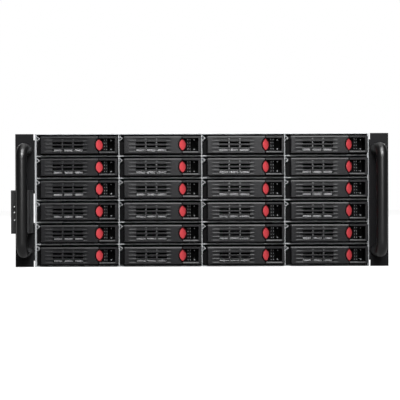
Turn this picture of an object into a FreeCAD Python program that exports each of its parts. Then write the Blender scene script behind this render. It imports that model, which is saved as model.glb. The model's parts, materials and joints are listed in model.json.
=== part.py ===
import FreeCAD, Part
import math
import os

# A rack server chassis: 24 hot-swap drive trays in a sheet metal case, all sizes in mm.
# X runs to the right, Y to the back, Z up. Y = 0 is the face that lies on the rack rails.

V = FreeCAD.Vector

# Rack fit
PANEL_WIDTH = 482.6
EAR_WIDTH = 25.3
RACK_HOLE_EDGE = 8.75
RACK_HOLE_PITCH = 101.6
RACK_SLOT_WIDTH = 6.8
RACK_SLOT_LENGTH = 10.3

# Case and drive cage
SHEET = 1.0
CASE_DEPTH = 660.0
COLUMNS = 4
ROWS = 6
BAY_HEIGHT = 27.5
CAGE_BACK = 194.0
COVER_BEHIND_CAGE = 11.0
COVER_FLANGE = 11.0
RUNNING_GAP = 0.3

# Rear wall
SUPPLY_WIDTH = 150.0
SUPPLY_HEIGHT = 86.0
SUPPLY_FROM_SIDE = 21.0
SUPPLY_FROM_TOP = 11.0
IO_WIDTH = 158.75
IO_HEIGHT = 44.45
IO_FROM_SIDE = 16.6
IO_FROM_BASE = 9.8
EXPANSION_COUNT = 7
EXPANSION_PITCH = 20.32
EXPANSION_WIDTH = 12.7
EXPANSION_HEIGHT = 103.0
EXPANSION_FROM_IO = 8.0
EXPANSION_FROM_BASE = 12.0
VENT_COUNT = 6
VENT_MARGIN = 8.0
VENT_FROM_SIDE = 13.0

# Rack ears, handles and control module
EAR_SHEET = 2.0
EAR_FLANGE = 45.0
EAR_RELIEF = 8.0
HANDLE_HEIGHT = 145.0
HANDLE_REACH = 45.0
HANDLE_BAR = 14.0
HANDLE_GAP = 2.2
HANDLE_BEND = 13.0
BEND_STEPS = 4
MODULE_LOW = 44.0
MODULE_HEIGHT = 55.0
MODULE_DEPTH = 28.0
MODULE_CHAMFER = 1.5
NOTCH_LOW = 13.0
NOTCH_HEIGHT = 38.0
POWER_BUTTON = 5.0
POWER_STAND_OUT = 1.8
POWER_LENGTH = 7.0
POWER_TRAVEL = 1.5
POWER_FROM_EDGE = 5.0
POWER_BELOW_TOP = 20.7

# Bent lug beside each bay, which the heel of the lever pushes against
LUG_REACH = 4.2
LUG_HALF = 3.4
LUG_STRIP = 0.8
LUG_DEPTH = 8.0
LUG_BELOW_TOP = 5.1

# Tray lever
STAND_OUT = 8.0
LEVER_LEFT = 7.4
LEVER_SHORT = 25.15
LEVER_LOW = 2.9
LEVER_BELOW_TOP = 2.8
LEVER_DEPTH = 8.5
LEVER_SKIN = 2.4
LEVER_WALL = 1.6
LEVER_CHAMFER = 1.2
HEEL_CUT = 1.5
HINGE_X = 8.5
HINGE_BEHIND = 6.0
SLOT_ROWS = 4
OPEN_ROWS = 3
SLOT_TALL = 1.9
SLOT_MARGIN = 3.8
SLOT_LEFT = 11.1
SLOT_SHORT = 12.6
RAMP_LEFT = 10.9
RAMP_RIGHT = 7.2
WINDOW_COUNT = 3
RIB = 1.8

# Tray bezel, button and sled
BEZEL_GAP = 0.5
BEZEL_SHEET = 3.0
BEZEL_SET_BACK = 0.5
BEZEL_LEFT = 0.6
BEZEL_LOW = 0.9
RECESS_FROM_SIDE = 3.95
RECESS_WIDE = 15.3
RECESS_BOTTOM = 2.5
RECESS_TOP = 2.4
RECESS_DEPTH = 20.0
RECESS_FLOOR = 1.5
BUTTON_PAST_LEVER = 0.9
BUTTON_WIDE = 9.2
BUTTON_RIM = 1.0
BUTTON_STEPS = 4
SLED_SIDE_GAP = 0.8
SLED_SHEET = 0.8
SLED_BELOW_LUG = 1.0
SLED_STRIP = 24.0
SLED_PLATE = 40.8
SLED_WALL = 9.4

# Backplanes and fans
BOARD = 1.6
CONNECTOR_WIDTH = 44.0
CONNECTOR_DEPTH = 5.0
CONNECTOR_HEIGHT = 8.0
FAN_BEHIND_CAGE = 46.0
FAN_COUNT = 3
FAN_SIZE = 120.0
FAN_DEPTH = 25.0
FAN_RIM = 2.0
FAN_TIP_GAP = 2.0
FAN_STRUT = 6.0
FAN_STRUT_SHEET = 3.0
HUB = 38.0
BLADES = 5
BLADE_SHEET = 1.6
BLADE_ANGLE = 40.0

# Widths that follow from the ones above
CASE_WIDTH = PANEL_WIDTH - 2 * EAR_WIDTH
INNER_WIDTH = CASE_WIDTH - 2 * SHEET
COLUMN_PITCH = (INNER_WIDTH - SHEET) / COLUMNS
BAY_WIDTH = COLUMN_PITCH - SHEET
HANDLE_X = CASE_WIDTH / 2 + HANDLE_GAP + HANDLE_BAR / 2
LEVER_RIGHT = BAY_WIDTH - LEVER_SHORT
SLOT_RIGHT = LEVER_RIGHT - SLOT_SHORT
WINDOW_LEFT = SLOT_LEFT + RAMP_LEFT
WINDOW_RIGHT = SLOT_RIGHT - RAMP_RIGHT
BEZEL_RIGHT = BAY_WIDTH - BEZEL_GAP
RECESS_RIGHT = BAY_WIDTH - RECESS_FROM_SIDE
RECESS_LEFT = RECESS_RIGHT - RECESS_WIDE
BUTTON_X = LEVER_RIGHT + BUTTON_PAST_LEVER
IO_LEFT = INNER_WIDTH / 2 - IO_FROM_SIDE - IO_WIDTH
FAN_PITCH = INNER_WIDTH / FAN_COUNT
FAN_BORE = FAN_SIZE - 2 * FAN_RIM

# Heights that follow
ROW_PITCH = BAY_HEIGHT + SHEET
CASE_HEIGHT = ROWS * ROW_PITCH + SHEET
CEILING = CASE_HEIGHT - SHEET
MIDDLE = CASE_HEIGHT / 2
VENT_RADIUS = (CASE_HEIGHT - 3 * VENT_MARGIN) / 4
VENT_PITCH = 2 * VENT_RADIUS / (VENT_COUNT + 0.4)
MODULE_HIGH = MODULE_LOW + MODULE_HEIGHT
LUG_HEIGHT = BAY_HEIGHT - LUG_BELOW_TOP
LEVER_HIGH = BAY_HEIGHT - LEVER_BELOW_TOP
SLOT_LOWEST = LEVER_LOW + SLOT_MARGIN
SLOT_PITCH = (LEVER_HIGH - SLOT_MARGIN - SLOT_LOWEST) / (SLOT_ROWS - 1)
RECESS_LOW = LEVER_LOW + RECESS_BOTTOM
RECESS_HIGH = LEVER_HIGH - RECESS_TOP
BUTTON_Z = (RECESS_LOW + RECESS_HIGH) / 2
BUTTON_TALL = RECESS_HIGH - RECESS_LOW - 2 * RUNNING_GAP
SLED_HEIGHT = LUG_HEIGHT - LUG_HALF - SLED_BELOW_LUG

# Depths that follow
CASE_FRONT = -EAR_SHEET
COVER_FRONT = CAGE_BACK + COVER_BEHIND_CAGE
FAN_WALL = CAGE_BACK + FAN_BEHIND_CAGE
SLED_BACK = CAGE_BACK - CONNECTOR_DEPTH - SHEET
TRAY_FRONT = CASE_FRONT - STAND_OUT
LEVER_BACK = TRAY_FRONT + LEVER_DEPTH
HINGE_Y = TRAY_FRONT + HINGE_BEHIND
BEZEL_FRONT = TRAY_FRONT + BEZEL_SET_BACK
BEZEL_FACE = LEVER_BACK + BEZEL_GAP
BEZEL_BACK = BEZEL_FACE + BEZEL_SHEET


def block(x, y, z):
    """A straight box from three (low, high) pairs."""
    return Part.makeBox(x[1] - x[0], y[1] - y[0], z[1] - z[0], V(x[0], y[0], z[0]))


def flat(points):
    return Part.Face(Part.makePolygon(points + points[:1]))


def across(outline, x):
    """An outline of (y, z) points, drawn out along X."""
    return flat([V(x[0], a, b) for a, b in outline]).extrude(V(x[1] - x[0], 0, 0))


def along(outline, y):
    """An outline of (x, z) points, drawn out along Y."""
    return flat([V(a, y[0], b) for a, b in outline]).extrude(V(0, y[1] - y[0], 0))


def upward(outline, z):
    """An outline of (x, y) points, drawn out along Z."""
    return flat([V(a, b, z[0]) for a, b in outline]).extrude(V(0, 0, z[1] - z[0]))


def mirrored(outline):
    return [(-a, b) for a, b in outline]


def bay_corner(row, column):
    """Lower left front corner of a bay, row 0 at the top."""
    x = -INNER_WIDTH / 2 + SHEET + column * COLUMN_PITCH
    return V(x, 0, SHEET + (ROWS - 1 - row) * ROW_PITCH)


def rear_opening(x, z, width, height):
    """Cutter through the rear wall, given its centre."""
    return block((x - width / 2, x + width / 2), (CASE_DEPTH - 2 * SHEET, CASE_DEPTH + SHEET),
                 (z - height / 2, z + height / 2))


def vent_slots(z):
    """Upright slots whose lengths follow a circle near the left side."""
    slots = []
    x = -INNER_WIDTH / 2 + VENT_FROM_SIDE + VENT_RADIUS
    for i in range(VENT_COUNT):
        offset = (i - (VENT_COUNT - 1) / 2) * VENT_PITCH
        chord = 2 * math.sqrt(VENT_RADIUS ** 2 - offset ** 2)
        slots.append(rear_opening(x + offset, z, VENT_PITCH / 2, chord))
    return slots


def expansion_slots():
    """Upright openings for expansion cards, beside the mainboard opening."""
    right = IO_LEFT - EXPANSION_FROM_IO - EXPANSION_WIDTH / 2
    z = EXPANSION_FROM_BASE + EXPANSION_HEIGHT / 2
    return [rear_opening(right - i * EXPANSION_PITCH, z, EXPANSION_WIDTH, EXPANSION_HEIGHT)
            for i in range(EXPANSION_COUNT)]


def rear_panel(left, right, cuts):
    """Part of the rear wall between the side walls, with its openings."""
    panel = block((left, right), (CASE_DEPTH - SHEET, CASE_DEPTH), (SHEET, CEILING - RUNNING_GAP))
    return panel.cut(Part.makeCompound(cuts))


def base_pan():
    """Bottom, side walls and rear wall; the rear wall has a card panel and a mainboard panel."""
    outer, inner = CASE_WIDTH / 2, INNER_WIDTH / 2
    depth = (CASE_FRONT, CASE_DEPTH)
    walls = (0, CEILING - RUNNING_GAP)
    rise = VENT_RADIUS + VENT_MARGIN / 2
    vents = vent_slots(MIDDLE - rise) + vent_slots(MIDDLE + rise)
    supply = rear_opening(inner - SUPPLY_FROM_SIDE - SUPPLY_WIDTH / 2,
                          CASE_HEIGHT - SUPPLY_FROM_TOP - SUPPLY_HEIGHT / 2, SUPPLY_WIDTH, SUPPLY_HEIGHT)
    mainboard = rear_opening(IO_LEFT + IO_WIDTH / 2, IO_FROM_BASE + IO_HEIGHT / 2, IO_WIDTH, IO_HEIGHT)
    seam = IO_LEFT - EXPANSION_FROM_IO / 2
    return Part.makeCompound([
        block((-inner, inner), depth, (0, SHEET)),
        block((-outer, -inner), depth, walls),
        block((inner, outer), depth, walls),
        rear_panel(-inner, seam, vents + expansion_slots()),
        rear_panel(seam, inner, [supply, mainboard])])


def top_cover():
    """Flat lid whose side flanges drop inside the case walls."""
    w = CASE_WIDTH / 2
    out = w - SHEET - RUNNING_GAP
    low = CEILING - COVER_FLANGE
    outline = [(-w, CASE_HEIGHT), (-w, CEILING), (-out, CEILING), (-out, low), (SHEET - out, low),
               (SHEET - out, CEILING), (out - SHEET, CEILING), (out - SHEET, low), (out, low),
               (out, CEILING), (w, CEILING), (w, CASE_HEIGHT)]
    lid = along(outline, (COVER_FRONT, CASE_DEPTH))
    behind = block((-w + SHEET, w - SHEET), (CASE_DEPTH - SHEET - RUNNING_GAP, CASE_DEPTH), (low, CEILING))
    return lid.cut(behind)


def lug():
    """Bent strip that points to the right, on the left wall of a bay."""
    tip = LUG_STRIP / 2
    strip = [(0, LUG_HALF), (LUG_REACH, tip), (LUG_REACH, -tip), (0, -LUG_HALF),
             (0, LUG_STRIP - LUG_HALF), (LUG_REACH - LUG_STRIP, 0), (0, LUG_HALF - LUG_STRIP)]
    return along(strip, (CASE_FRONT, CASE_FRONT + LUG_DEPTH))


def drive_cage():
    depth = (CASE_FRONT, CAGE_BACK)
    w = CASE_WIDTH / 2
    pieces = [block((-w, w), (CASE_FRONT, COVER_FRONT - RUNNING_GAP), (CEILING, CASE_HEIGHT))]
    for i in range(COLUMNS + 1):
        x = -INNER_WIDTH / 2 + i * COLUMN_PITCH
        pieces.append(block((x, x + SHEET), depth, (SHEET, CEILING)))
    for row in range(ROWS):
        for column in range(COLUMNS):
            corner = bay_corner(row, column)
            if row > 0:
                top = corner.z + BAY_HEIGHT
                pieces.append(block((corner.x, corner.x + BAY_WIDTH), depth, (top, top + SHEET)))
            pieces.append(lug().translated(corner + V(0, 0, LUG_HEIGHT)))
    return Part.makeCompound(pieces)


def rack_slot(x, z):
    """Cutter for one slot, long side along X."""
    r = RACK_SLOT_WIDTH / 2
    half = RACK_SLOT_LENGTH / 2 - r
    low = V(x - half, -EAR_SHEET - 1, z)
    depth = EAR_SHEET + 2
    cutter = block((x - half, x + half), (low.y, low.y + depth), (z - r, z + r))
    ends = [Part.makeCylinder(r, depth, low + V(shift, 0, 0), V(0, 1, 0)) for shift in (0, 2 * half)]
    return cutter.fuse(ends).removeSplitter()


def rack_ear(side):
    inner = CASE_WIDTH / 2
    outer = PANEL_WIDTH / 2
    low, high = EAR_RELIEF, CASE_HEIGHT - EAR_RELIEF
    bend = inner + EAR_SHEET
    outline = [(bend, 0), (outer, 0), (outer, CASE_HEIGHT), (bend, CASE_HEIGHT),
               (bend, high), (inner, high), (inner, low), (bend, low)]
    flange = [(inner, low), (bend, low), (bend, high), (inner, high)]
    if side < 0:
        outline, flange = mirrored(outline), mirrored(flange)
    ear = along(outline, (-EAR_SHEET, 0)).fuse(along(flange, (-EAR_SHEET, EAR_FLANGE))).removeSplitter()
    for z in (MIDDLE - RACK_HOLE_PITCH / 2, MIDDLE + RACK_HOLE_PITCH / 2):
        ear = ear.cut(rack_slot(side * (outer - RACK_HOLE_EDGE), z))
    if side < 0:
        low = MODULE_LOW + NOTCH_LOW
        ear = ear.cut(block((-bend, -inner), (-EAR_SHEET, EAR_FLANGE), (low, low + NOTCH_HEIGHT)))
    return ear


def bar_corners(centre, normal):
    """Corners of the eight-sided bar section at a point, square to the given direction."""
    r = HANDLE_BAR / 2 / math.cos(math.pi / 8)
    second = normal.cross(V(1, 0, 0))
    corners = []
    for i in range(8):
        a = math.pi / 4 * (i + 0.5)
        corners.append(centre + V(1, 0, 0) * (r * math.cos(a)) + second * (r * math.sin(a)))
    return corners


def handle(side):
    """Bar bent into a U, both ends on the front face of the ear."""
    front = -EAR_SHEET - HANDLE_REACH + HANDLE_BAR / 2
    rise = HANDLE_HEIGHT / 2 - HANDLE_BAR / 2 - HANDLE_BEND
    rings = [(-EAR_SHEET, -rise - HANDLE_BEND, 0)]
    for end in (-1, 1):
        for i in range(BEND_STEPS + 1):
            turn = 90 * (i / BEND_STEPS + (end + 1) / 2)
            a = math.radians(turn)
            y = front + HANDLE_BEND * (1 - math.sin(a))
            rings.append((y, end * rise - HANDLE_BEND * math.cos(a), turn))
    rings.append((-EAR_SHEET, rise + HANDLE_BEND, 180))
    loops = []
    for y, z, turn in rings:
        a = math.radians(turn)
        loops.append(bar_corners(V(side * HANDLE_X, y, MIDDLE + z), V(0, -math.cos(a), math.sin(a))))
    faces = [flat(loops[0]), flat(loops[-1])]
    for near, far in zip(loops, loops[1:]):
        faces += [flat([near[k - 1], near[k], far[k], far[k - 1]]) for k in range(8)]
    return Part.Solid(Part.Shell(faces)).removeSplitter()


def power_axis():
    return V(-PANEL_WIDTH / 2 + POWER_FROM_EDGE, -EAR_SHEET - MODULE_DEPTH, MODULE_HIGH - POWER_BELOW_TOP)


def control_module():
    """Box on the front face of the left ear, with the bore of the power button."""
    left = -PANEL_WIDTH / 2
    right = -CASE_WIDTH / 2 - EAR_SHEET
    front = -EAR_SHEET - MODULE_DEPTH
    c = MODULE_CHAMFER
    plan = [(left, -EAR_SHEET), (left, front + c), (left + c, front), (right - c, front),
            (right, front + c), (right, -EAR_SHEET)]
    side = [(-EAR_SHEET, MODULE_LOW), (front + c, MODULE_LOW), (front, MODULE_LOW + c),
            (front, MODULE_HIGH - c), (front + c, MODULE_HIGH), (-EAR_SHEET, MODULE_HIGH)]
    body = upward(plan, (MODULE_LOW, MODULE_HIGH)).common(across(side, (left, right)))
    depth = POWER_LENGTH - POWER_STAND_OUT + POWER_TRAVEL + RUNNING_GAP
    bore = Part.makeCylinder(POWER_BUTTON / 2 + RUNNING_GAP, depth, power_axis(), V(0, 1, 0))
    return body.cut(bore)


def power_button():
    start = power_axis() - V(0, POWER_STAND_OUT, 0)
    return Part.makeCylinder(POWER_BUTTON / 2, POWER_LENGTH, start, V(0, 1, 0))


def grille():
    """Cutters for the lever grille: slots with ramped ends, a window behind all but the highest."""
    half_skin = TRAY_FRONT + LEVER_SKIN / 2
    ramped = [(SLOT_LEFT, TRAY_FRONT), (WINDOW_LEFT, half_skin), (WINDOW_RIGHT, half_skin),
              (SLOT_RIGHT, TRAY_FRONT)]
    cutters = [block((WINDOW_LEFT, WINDOW_RIGHT), (half_skin, TRAY_FRONT + LEVER_SKIN), window_span())]
    for i in range(SLOT_ROWS):
        z = SLOT_LOWEST + i * SLOT_PITCH
        cutters.append(upward(ramped, (z - SLOT_TALL / 2, z + SLOT_TALL / 2)))
    return cutters


def window_span():
    """Heights of the lowest and highest edges of the open slots."""
    top = SLOT_LOWEST + (OPEN_ROWS - 1) * SLOT_PITCH
    return (SLOT_LOWEST - SLOT_TALL / 2, top + SLOT_TALL / 2)


def lever():
    """Hinged pull lever: a channel open to the back with a grille, a heel and a notch for the button."""
    heel = HINGE_X - (LEVER_BACK - HINGE_Y)
    plan = [(LEVER_LEFT, TRAY_FRONT), (LEVER_RIGHT, TRAY_FRONT), (LEVER_RIGHT, LEVER_BACK),
            (heel + HEEL_CUT, LEVER_BACK), (heel, LEVER_BACK - HEEL_CUT), (heel, HINGE_Y)]
    c = LEVER_CHAMFER
    section = [(TRAY_FRONT, LEVER_LOW), (TRAY_FRONT, LEVER_HIGH - c), (TRAY_FRONT + c, LEVER_HIGH),
               (LEVER_BACK, LEVER_HIGH), (LEVER_BACK, LEVER_LOW)]
    body = upward(plan, (LEVER_LOW, LEVER_HIGH)).common(across(section, (heel, LEVER_RIGHT)))
    inside = block((heel, LEVER_RIGHT - LEVER_WALL), (TRAY_FRONT + LEVER_SKIN, LEVER_BACK),
                   (LEVER_LOW + LEVER_WALL, LEVER_HIGH - LEVER_WALL))
    deep = BUTTON_X - BUTTON_WIDE / 2 - BEZEL_GAP
    tall = BUTTON_TALL / 2 + BEZEL_GAP
    z = BUTTON_Z
    notch = [(LEVER_RIGHT, z - tall), (LEVER_RIGHT, z + tall), (deep, z + tall / 2.4),
             (deep, z - tall / 2.4)]
    body = body.cut(inside).cut(along(notch, (TRAY_FRONT, LEVER_BACK)))
    return body.cut(grille())


def bezel():
    """Tray front: plate behind the lever, hinge knuckle, finger recess at the right end."""
    high = LEVER_HIGH
    split = LEVER_RIGHT + BEZEL_GAP
    pocket = (RECESS_LEFT - RECESS_FLOOR, RECESS_RIGHT + RECESS_FLOOR)
    deep = BEZEL_FRONT + RECESS_DEPTH
    plan = [(BEZEL_LEFT, BEZEL_FACE), (split, BEZEL_FACE), (split, BEZEL_FRONT), (BEZEL_RIGHT, BEZEL_FRONT),
            (BEZEL_RIGHT, BEZEL_BACK), (pocket[1], BEZEL_BACK), (pocket[1], deep + RECESS_FLOOR),
            (pocket[0], deep + RECESS_FLOOR), (pocket[0], BEZEL_BACK), (BEZEL_LEFT, BEZEL_BACK)]
    front = upward(plan, (BEZEL_LOW, high))
    r = LEVER_BACK - HINGE_Y - RUNNING_GAP
    knuckle = [(HINGE_X - r, BEZEL_FACE), (HINGE_X - r, HINGE_Y - r), (HINGE_X + r, HINGE_Y - r),
               (HINGE_X + r, BEZEL_FACE)]
    inset = LEVER_WALL + RUNNING_GAP
    front = front.fuse(upward(knuckle, (LEVER_LOW + inset, high - inset))).removeSplitter()
    recess = (RECESS_LOW, RECESS_HIGH)
    cutters = [block((split, RECESS_RIGHT), (BEZEL_FRONT, BEZEL_FACE), recess),
               block((RECESS_LEFT, RECESS_RIGHT), (BEZEL_FACE, deep), recess),
               block((BEZEL_LEFT, LUG_REACH + RUNNING_GAP), (BEZEL_FACE, BEZEL_BACK),
                     (SLED_HEIGHT + RUNNING_GAP, high))]
    wide = (WINDOW_RIGHT - WINDOW_LEFT - (WINDOW_COUNT - 1) * RIB) / WINDOW_COUNT
    for i in range(WINDOW_COUNT):
        x = WINDOW_LEFT + i * (wide + RIB)
        cutters.append(block((x, x + wide), (BEZEL_FACE, BEZEL_BACK), window_span()))
    return front.cut(cutters)


def eye_outline():
    """Points on two equal arcs that meet at the upper and lower tip."""
    half, tall = BUTTON_WIDE / 2, BUTTON_TALL / 2
    radius = (half ** 2 + tall ** 2) / (2 * half)
    sweep = math.asin(tall / radius)
    points = []
    for side in (1, -1):
        for i in range(BUTTON_STEPS):
            a = sweep * (2 * i / BUTTON_STEPS - 1)
            points.append((BUTTON_X + side * (half - radius + radius * math.cos(a)),
                           BUTTON_Z + side * radius * math.sin(a)))
    return points


def release_button():
    """Eye-shaped button with a slanted face that looks to the right."""
    left, right = BUTTON_X - BUTTON_WIDE / 2, BUTTON_X + BUTTON_WIDE / 2
    eye = along(eye_outline(), (TRAY_FRONT, BEZEL_FACE))
    slope = [(left, TRAY_FRONT), (left + BUTTON_RIM, TRAY_FRONT), (right, BEZEL_FACE - BUTTON_RIM),
             (right, BEZEL_FACE), (left, BEZEL_FACE)]
    return eye.common(upward(slope, (BUTTON_Z - BUTTON_TALL, BUTTON_Z + BUTTON_TALL)))


def sled():
    """Drive carrier: two side rails joined by a front plate with a low wall and by a rear strip."""
    left, right = SLED_SIDE_GAP, BAY_WIDTH - SLED_SIDE_GAP
    t = SLED_SHEET
    low = RUNNING_GAP
    rails = (low, SLED_HEIGHT)
    floor = (low, low + t)
    inside = (left + t, right - t)
    front = BEZEL_BACK + SHEET
    wall = (left + SLED_STRIP / 2, RECESS_LEFT - RECESS_FLOOR - SHEET)
    return [block((left, left + t), (BEZEL_BACK, SLED_BACK), rails),
            block((right - t, right), (BEZEL_BACK, SLED_BACK), rails),
            block(inside, (front, SLED_PLATE), floor),
            block(wall, (front, front + t), (floor[1], SLED_WALL)),
            block(inside, (SLED_BACK - SHEET - SLED_STRIP, SLED_BACK - SHEET), floor)]


def backplanes():
    """One board across each row, a drive connector in the middle of each bay."""
    boards = []
    for row in range(ROWS):
        z = bay_corner(row, 0).z
        board = block((-INNER_WIDTH / 2 + SHEET, INNER_WIDTH / 2 - SHEET), (CAGE_BACK, CAGE_BACK + BOARD),
                      (z + SHEET, z + BAY_HEIGHT - SHEET))
        for column in range(COLUMNS):
            x = bay_corner(row, column).x + (BAY_WIDTH - CONNECTOR_WIDTH) / 2
            low = z + 2 * SHEET
            plug = block((x, x + CONNECTOR_WIDTH), (CAGE_BACK - CONNECTOR_DEPTH, CAGE_BACK),
                         (low, low + CONNECTOR_HEIGHT))
            board = board.fuse(plug)
        boards.append(board.removeSplitter())
    return Part.makeCompound(boards)


def fan_centre(i):
    return V((i - (FAN_COUNT - 1) / 2) * FAN_PITCH, FAN_WALL + SHEET, MIDDLE)


def fan_frame(i):
    """Square fan frame with a round bore, and the crossed struts on its back."""
    c = fan_centre(i)
    h = FAN_SIZE / 2
    back = c.y + FAN_DEPTH
    frame = block((c.x - h, c.x + h), (c.y, back), (c.z - h, c.z + h))
    frame = frame.cut(Part.makeCylinder(FAN_BORE / 2, FAN_DEPTH, c, V(0, 1, 0)))
    s = FAN_STRUT / 2
    thick = (back, back + FAN_STRUT_SHEET)
    end = h - FAN_RIM / 2
    struts = block((c.x - end, c.x + end), thick, (c.z - s, c.z + s))
    struts = struts.fuse(block((c.x - s, c.x + s), thick, (c.z - end, c.z + end))).removeSplitter()
    return [frame, struts]


def fan_wall():
    """Sheet across the case with a square opening at each fan, its upper corners clear of the cover."""
    w = INNER_WIDTH / 2
    top = CEILING - RUNNING_GAP
    ear = w - 3 * SHEET
    below = CEILING - COVER_FLANGE - SHEET
    outline = [(-w, SHEET), (w, SHEET), (w, below), (ear, below), (ear, top), (-ear, top), (-ear, below),
               (-w, below)]
    thick = (FAN_WALL, FAN_WALL + SHEET)
    sheet = along(outline, thick)
    h = FAN_SIZE / 2 - 4 * SHEET
    frames = []
    for i in range(FAN_COUNT):
        c = fan_centre(i)
        sheet = sheet.cut(block((c.x - h, c.x + h), thick, (c.z - h, c.z + h)))
        frames += fan_frame(i)
    return Part.makeCompound([sheet] + frames)


def blade(c, depth):
    """One flat slanted blade, rooted in the hub and pointing up."""
    a = math.radians(BLADE_ANGLE)
    run = V(math.cos(a), math.sin(a), 0) * (depth / 2 / math.sin(a))
    thick = V(-math.sin(a), math.cos(a), 0) * BLADE_SHEET / 2
    wide = run.x + abs(thick.x)
    root = math.sqrt((HUB / 2 - FAN_TIP_GAP) ** 2 - wide ** 2)
    tip = math.sqrt((FAN_BORE / 2 - FAN_TIP_GAP) ** 2 - wide ** 2)
    middle = c + V(0, 0, root)
    corners = [middle - run - thick, middle + run - thick, middle + run + thick, middle - run + thick]
    return flat(corners).extrude(V(0, 0, tip - root))


def fan_rotor(i):
    """Many-sided hub that runs just clear of the struts, with slanted blades."""
    c = fan_centre(i)
    depth = FAN_DEPTH - 2 * FAN_TIP_GAP
    sides = 4 * BLADES
    turns = [2 * math.pi * (k + 0.5) / sides for k in range(sides)]
    rim = [(c.x + HUB / 2 * math.cos(t), c.z + HUB / 2 * math.sin(t)) for t in turns]
    hub = along(rim, (c.y + FAN_TIP_GAP, c.y + FAN_DEPTH - RUNNING_GAP))
    first = blade(c + V(0, FAN_TIP_GAP + depth / 2, 0), depth - 2 * SHEET)
    blades = [first.copy().rotate(c, V(0, 1, 0), 360 * k / BLADES) for k in range(BLADES)]
    return hub.fuse(blades).removeSplitter()


def write(name, shape):
    shape.exportStep("parts/" + name + ".step")
    print(name, len(shape.Solids), round(shape.Volume / 1000, 2), "cm3", shape.isValid())


os.makedirs("parts", exist_ok=True)
write("base_pan", base_pan())
write("top_cover", top_cover())
write("drive_cage", drive_cage())
write("rack_ears", Part.makeCompound([rack_ear(-1), rack_ear(1)]))
write("handles", Part.makeCompound([handle(-1), handle(1)]))
write("control_module", control_module())
write("power_button", power_button())
write("backplanes", backplanes())
write("fan_wall", fan_wall())
for i in range(FAN_COUNT):
    write("fan_rotor_%d" % (i + 1), fan_rotor(i))

one_lever = lever()
one_tray = Part.makeCompound(sled() + [bezel(), release_button()])
for row in range(ROWS):
    for column in range(COLUMNS):
        place = "_r%dc%d" % (row + 1, column + 1)
        write("tray" + place, one_tray.translated(bay_corner(row, column)))
        write("lever" + place, one_lever.translated(bay_corner(row, column)))
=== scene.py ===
# %% [markdown]
# # A rack server chassis with 24 drive trays
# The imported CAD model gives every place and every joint, and this lesson dresses it for its picture.
# A good order is to load the frame, set the camera, light the room, mix the finishes and then make the
# pieces, from the large sheet metal down to the buttons. Sizes of small pieces are in millimetres,
# because that is how a maker thinks of them, and they become metres when a mesh is made.

# %% Load the frame
import json
import math

import bmesh
import bpy
from mathutils import Matrix, Vector


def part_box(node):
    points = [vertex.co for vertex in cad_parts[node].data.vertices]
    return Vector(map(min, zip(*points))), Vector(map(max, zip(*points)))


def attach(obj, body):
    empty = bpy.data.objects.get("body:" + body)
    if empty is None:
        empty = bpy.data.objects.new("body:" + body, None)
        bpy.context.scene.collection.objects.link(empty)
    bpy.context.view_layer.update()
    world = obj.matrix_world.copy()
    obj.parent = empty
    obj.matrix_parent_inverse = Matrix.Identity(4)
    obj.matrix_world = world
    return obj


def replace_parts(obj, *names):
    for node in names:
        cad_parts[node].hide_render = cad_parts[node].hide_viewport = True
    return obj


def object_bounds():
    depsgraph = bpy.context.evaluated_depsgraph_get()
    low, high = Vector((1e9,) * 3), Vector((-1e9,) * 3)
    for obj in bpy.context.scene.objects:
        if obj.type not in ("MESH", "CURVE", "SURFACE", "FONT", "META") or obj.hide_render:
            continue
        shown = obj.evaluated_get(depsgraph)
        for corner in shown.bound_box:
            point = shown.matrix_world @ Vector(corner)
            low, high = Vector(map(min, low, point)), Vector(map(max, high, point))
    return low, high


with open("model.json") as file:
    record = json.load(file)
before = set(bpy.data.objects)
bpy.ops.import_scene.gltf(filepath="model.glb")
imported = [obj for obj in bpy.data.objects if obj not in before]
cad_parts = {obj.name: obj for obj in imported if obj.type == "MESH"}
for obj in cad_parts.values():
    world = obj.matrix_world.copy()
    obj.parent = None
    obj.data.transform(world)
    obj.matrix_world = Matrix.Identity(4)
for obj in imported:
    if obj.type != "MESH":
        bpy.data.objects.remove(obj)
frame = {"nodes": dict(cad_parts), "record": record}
CAD_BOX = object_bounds()
NODES = frame["nodes"]
SCENE = bpy.context.scene
MM = 0.001

# %% [markdown]
# ## The camera
# The picture was taken straight from the front with a short telephoto lens, level with the middle row.
# The width of the front in the picture and the way the handles spread give the distance and the lens.
# A camera could also be aimed by eye, but worked out from the picture it stays right when pieces change.

# %% Camera
PICTURE_SIDE = 400
FRONT_LEFT, FRONT_RIGHT = 15.4, 388.4
VIEW_ANGLE = math.radians(26.4)
CAMERA_ROLL = math.radians(0.19)
SENSOR = 36.0

ear_low, ear_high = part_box("rack_ears")
metres_per_pixel = (ear_high.x - ear_low.x) / (FRONT_RIGHT - FRONT_LEFT)
distance = PICTURE_SIDE / 2 * metres_per_pixel / math.tan(VIEW_ANGLE / 2)
lens = bpy.data.cameras.new("front_view")
lens.sensor_width = SENSOR
lens.lens = SENSOR / 2 / math.tan(VIEW_ANGLE / 2)
lens.shift_x = (PICTURE_SIDE / 2 - (FRONT_LEFT + FRONT_RIGHT) / 2) / PICTURE_SIDE
camera = bpy.data.objects.new("front_view", lens)
camera.location = (0.0, ear_low.y - distance, (ear_low.z + ear_high.z) / 2)
camera.rotation_euler = (math.pi / 2, CAMERA_ROLL, 0.0)
SCENE.collection.objects.link(camera)
SCENE.camera = camera
print("camera", round(distance, 3), "m in front, lens", round(lens.lens, 1), "mm")

# %% [markdown]
# ## Nodes without clutter
# Each finish below is a small node tree. One helper adds a node, sets its values and joins its inputs, and
# three short ones built on it do the sums, so a finish reads like a list of ingredients. Values that are the
# same all over the surface are set on the shader itself, because an exported model keeps them best that way.

# %% Node helpers
VECTOR = "ShaderNodeVectorMath"


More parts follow.
